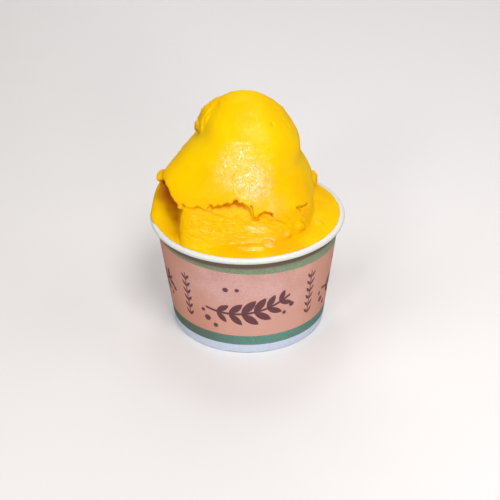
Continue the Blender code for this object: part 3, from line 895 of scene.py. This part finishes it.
def sorbetMaterial():
    mat, paint, place = newMaterial("mango_sorbet")
    x, y, z = place.split()
    cloud = place.noise(0.07, 3.0)
    patch = place.noise(0.55, 4.0, 0.6)
    torn, deep, hollowShade = (paint.node("ShaderNodeAttribute", {"attribute_name": name}, output=2)
                          for name in ("torn", "deep", "hollowShade"))
    colour = cloud.step(0.3, 0.7).mix(sorbetTints["plain"], sorbetTints["light"])
    colour = (patch.step(0.45, 0.75) * 0.35).mix(colour, sorbetTints["patch"])
    onShelf = z.step(*zones["shelfFoot"]) * (1.0 - z.step(*zones["shelfTop"])) * (
        1.0 - y.step(*zones["shelfBack"]))
    # painted shade: the front shelf a deeper orange, where its face takes less light
    colour = onShelf.mix(colour, sorbetTints["shelf"])
    streaks = place.scaled((0.4, 1.0, 1.7)).noise(0.9, 3.0, 0.6)
    # painted shade: darker orange in the furrows of the spatula's streaks on the shelf
    furrows = (1.0 - streaks.step(0.4, 0.52)) * onShelf * z.step(*zones["furrowFoot"])
    colour = (furrows * 0.65).mix(colour, sorbetTints["furrow"])
    # the torn skin a darker orange: partly its own rougher texture, partly painted shade
    colour = (torn * 0.45).mix(colour, sorbetTints["torn"])
    # painted shade in the hollows, where the sorbet hides the light, darkest in the recess at the left
    atLeft = 1.0 - x.step(*zones["left"])
    shaded = hollowShade.step(0.15, 0.7).most(hollowShade.step(0.0, 0.32) * atLeft)
    colour = shaded.mix(colour, atLeft.mix(sorbetTints["hollowShade"], sorbetTints["leftRecessShade"]))
    # painted shade in the cracks and pits
    colour = (deep * 0.6).mix(colour, sorbetTints["crack"])
    # painted light and shade laid over the colour, place by place
    for centre, radius, share, shadeTint in sorbetTints["paintedLightShade"]:
        near = 1.0 - place.away(centre).step(radius * 0.3, radius)
        colour = (near * share).mix(colour, shadeTint)
    flesh = paint.node("ShaderNodeBsdfPrincipled", None, {
        "Base Color": colour, "Roughness": 0.42, "IOR": 1.45, "Specular IOR Level": 0.05,
        "Subsurface Weight": 0.1, "Subsurface Radius": (1.0, 0.55, 0.12), "Subsurface Scale": 1.2 * mm,
        "Normal": bump(paint, place.noise(0.35, 3.0, 0.6), 0.12)})
    # little ice crystals in the skin, each a facet at its own tilt that glints in the front lamps;
    # a cell's random colour gives its tilt, its polish and whether it is one of the rare bright ones
    cell = paint.node("ShaderNodeTexVoronoi", None, {"Vector": place, "Scale": ice["perMm"]}, 1)
    chance, _, polish = cell.split()
    tilt = paint.node("ShaderNodeVectorMath", {"operation": "MULTIPLY_ADD"},
                      {0: cell, 1: (ice["tilt"],) * 3, 2: (ice["tilt"] / -2,) * 3})
    facet = paint.node("ShaderNodeVectorMath", {"operation": "ADD"},
                       {0: paint.node("ShaderNodeNewGeometry", output=1), 1: tilt})
    facet = paint.node("ShaderNodeVectorMath", {"operation": "NORMALIZE"}, {0: facet})
    glints = paint.node("ShaderNodeBsdfPrincipled", None, {
        "Base Color": (1.0, 1.0, 1.0, 1.0), "Metallic": 1.0,
        "Roughness": polish * (ice["matt"] - ice["shiny"]) + ice["shiny"], "Normal": facet})
    ragged = (place.scaled((0.5, 1.0, 1.5)).noise(0.35, 4.0, 0.6) - 0.5) * ice["ragged"]
    spots = []
    for centre, radii, share in ice["spots"]:
        middle = tuple(c / r for c, r in zip(centre, radii))
        across = place.scaled(tuple(1 / r for r in radii)).away(middle)
        spots.append((1.0 - (across + ragged).step(0.3, 1.0)) * share)
    atRight = x.step(*zones["right"]) * (1.0 - z.step(*zones["rightTop"])) * (
        1.0 - y.step(*zones["rightBack"]))
    flecks = streaks.step(0.56, 0.68) * onShelf.most(atRight) * ice["flecks"]
    frost = reduce(Sock.most, spots + [flecks])
    bunches = place.noise(0.7, 3.0).step(0.32, 0.62) * 0.7 + 0.3
    rare = chance.step(0.86, 0.9) * ice["rare"]
    # the sparkle fades where the skin turns away
    glancing = paint.node("ShaderNodeLayerWeight", None, {"Blend": 0.5}, 1).step(0.35, 0.8)
    sheen = ice["least"] * (1.0 - onShelf * 0.8)
    share = (frost * (bunches * ice["most"] + rare) + sheen) * (1.0 - glancing)
    skin = paint.node("ShaderNodeMixShader", None, {0: share, 1: flesh, 2: glints})
    paint.node("ShaderNodeOutputMaterial", None, {"Surface": skin})
    return mat


def makeSorbet():
    addPiece("sorbet_heap", sorbetMesh(), sorbetMaterial(), "sorbet")


makeSorbet()
print("sorbet made")


# a pale floor and soft lamps in metres and watts; each lamp is its angle round, angle up, distance,
# size, power and whether it makes highlights
studio = {"floor": 4.0, "floorShadeLeft": rgb(224, 220, 218), "floorLitRight": rgb(235, 231, 230),
          # the floor's painted shade: darker at the left and the front, lighter at the right and the back;
          # its colour turns over this many mm to each side, at a slant and with a wander
          "floorTurn": 120.0, "floorSlant": 0.4, "floorWander": 60.0,
          "room": (1.0, 1.0, 1.0, 1.0), "roomLight": 0.05, "roomSeen": 0.7, "roomGloss": 0.1,
          "lamps": [(-24.0, 28.0, 1.1, (0.2, 0.18), 2.2, True), (14.0, 17.0, 1.1, (0.2, 0.18), 2.3, True),
                    (178.0, 62.0, 1.1, (0.2, 0.18), 0.85, True),
                    (20.0, 55.0, 0.9, (0.3, 0.3), 4.6, True), (85.0, 35.0, 1.3, (0.9, 0.9), 3.0, False),
                    (135.0, 45.0, 1.3, (1.0, 1.0), 1.2, False), (182.0, 40.0, 1.3, (1.0, 1.0), 5.5, False),
                    (-72.0, 52.0, 1.3, (0.8, 0.8), 5.0, False)],
          "aim": (0.0, 0.0, 0.06)}


def makeStudio():
    bm = bmesh.new()
    bmesh.ops.create_grid(bm, x_segments=8, y_segments=8, size=studio["floor"] / 2)
    mesh = bpy.data.meshes.new("floor")
    bm.to_mesh(mesh)
    bm.free()
    floor = bpy.data.objects.new("floor", mesh)
    bpy.context.scene.collection.objects.link(floor)
    mat, paint, place = newMaterial("floor_painted_shade")
    x, y, _ = place.split()
    wander = (place.noise(0.02, 3.0) - 0.5) * studio["floorWander"]
    across = x + y * studio["floorSlant"] + wander
    # painted light and shade on the floor: from the darker left colour to the lighter right one
    shadeTint = across.step(-studio["floorTurn"], studio["floorTurn"]).mix(
        studio["floorShadeLeft"], studio["floorLitRight"])
    finishMaterial(paint, {"Base Color": shadeTint, "Roughness": 0.6,
                           "Normal": bump(paint, place.noise(1.5, 3.0), 0.02)})
    mesh.materials.append(mat)
    floor.visible_glossy = False
    for around, up, distance, size, power, shines in studio["lamps"]:
        data = bpy.data.lights.new("lamp", "AREA")
        data.shape = "RECTANGLE"
        data.size, data.size_y = size
        data.energy = power
        lamp = bpy.data.objects.new("lamp", data)
        bpy.context.scene.collection.objects.link(lamp)
        around, up = math.radians(around), math.radians(up)
        way = Vector((math.sin(around) * math.cos(up), -math.cos(around) * math.cos(up), math.sin(up)))
        lamp.location = Vector(studio["aim"]) + distance * way
        lamp.rotation_euler = (-way).to_track_quat("-Z", "Y").to_euler()
        lamp.visible_glossy = shines
    room = bpy.data.worlds.new("room")
    room.use_nodes = True
    sky = room.node_tree.nodes["Background"]
    sky.inputs["Color"].default_value = studio["room"]
    # dim as a light, a little brighter in the highlights, pale where it is seen past the floor
    seen, glossed = (Sock(room.node_tree).node("ShaderNodeLightPath", output=i) for i in (0, 3))
    strength = seen * studio["roomSeen"] + glossed * studio["roomGloss"] + studio["roomLight"]
    room.node_tree.links.new(strength.socket, sky.inputs["Strength"])
    bpy.context.scene.world = room
    bpy.context.scene.view_settings.view_transform = "Standard"


makeStudio()
print("studio lit")
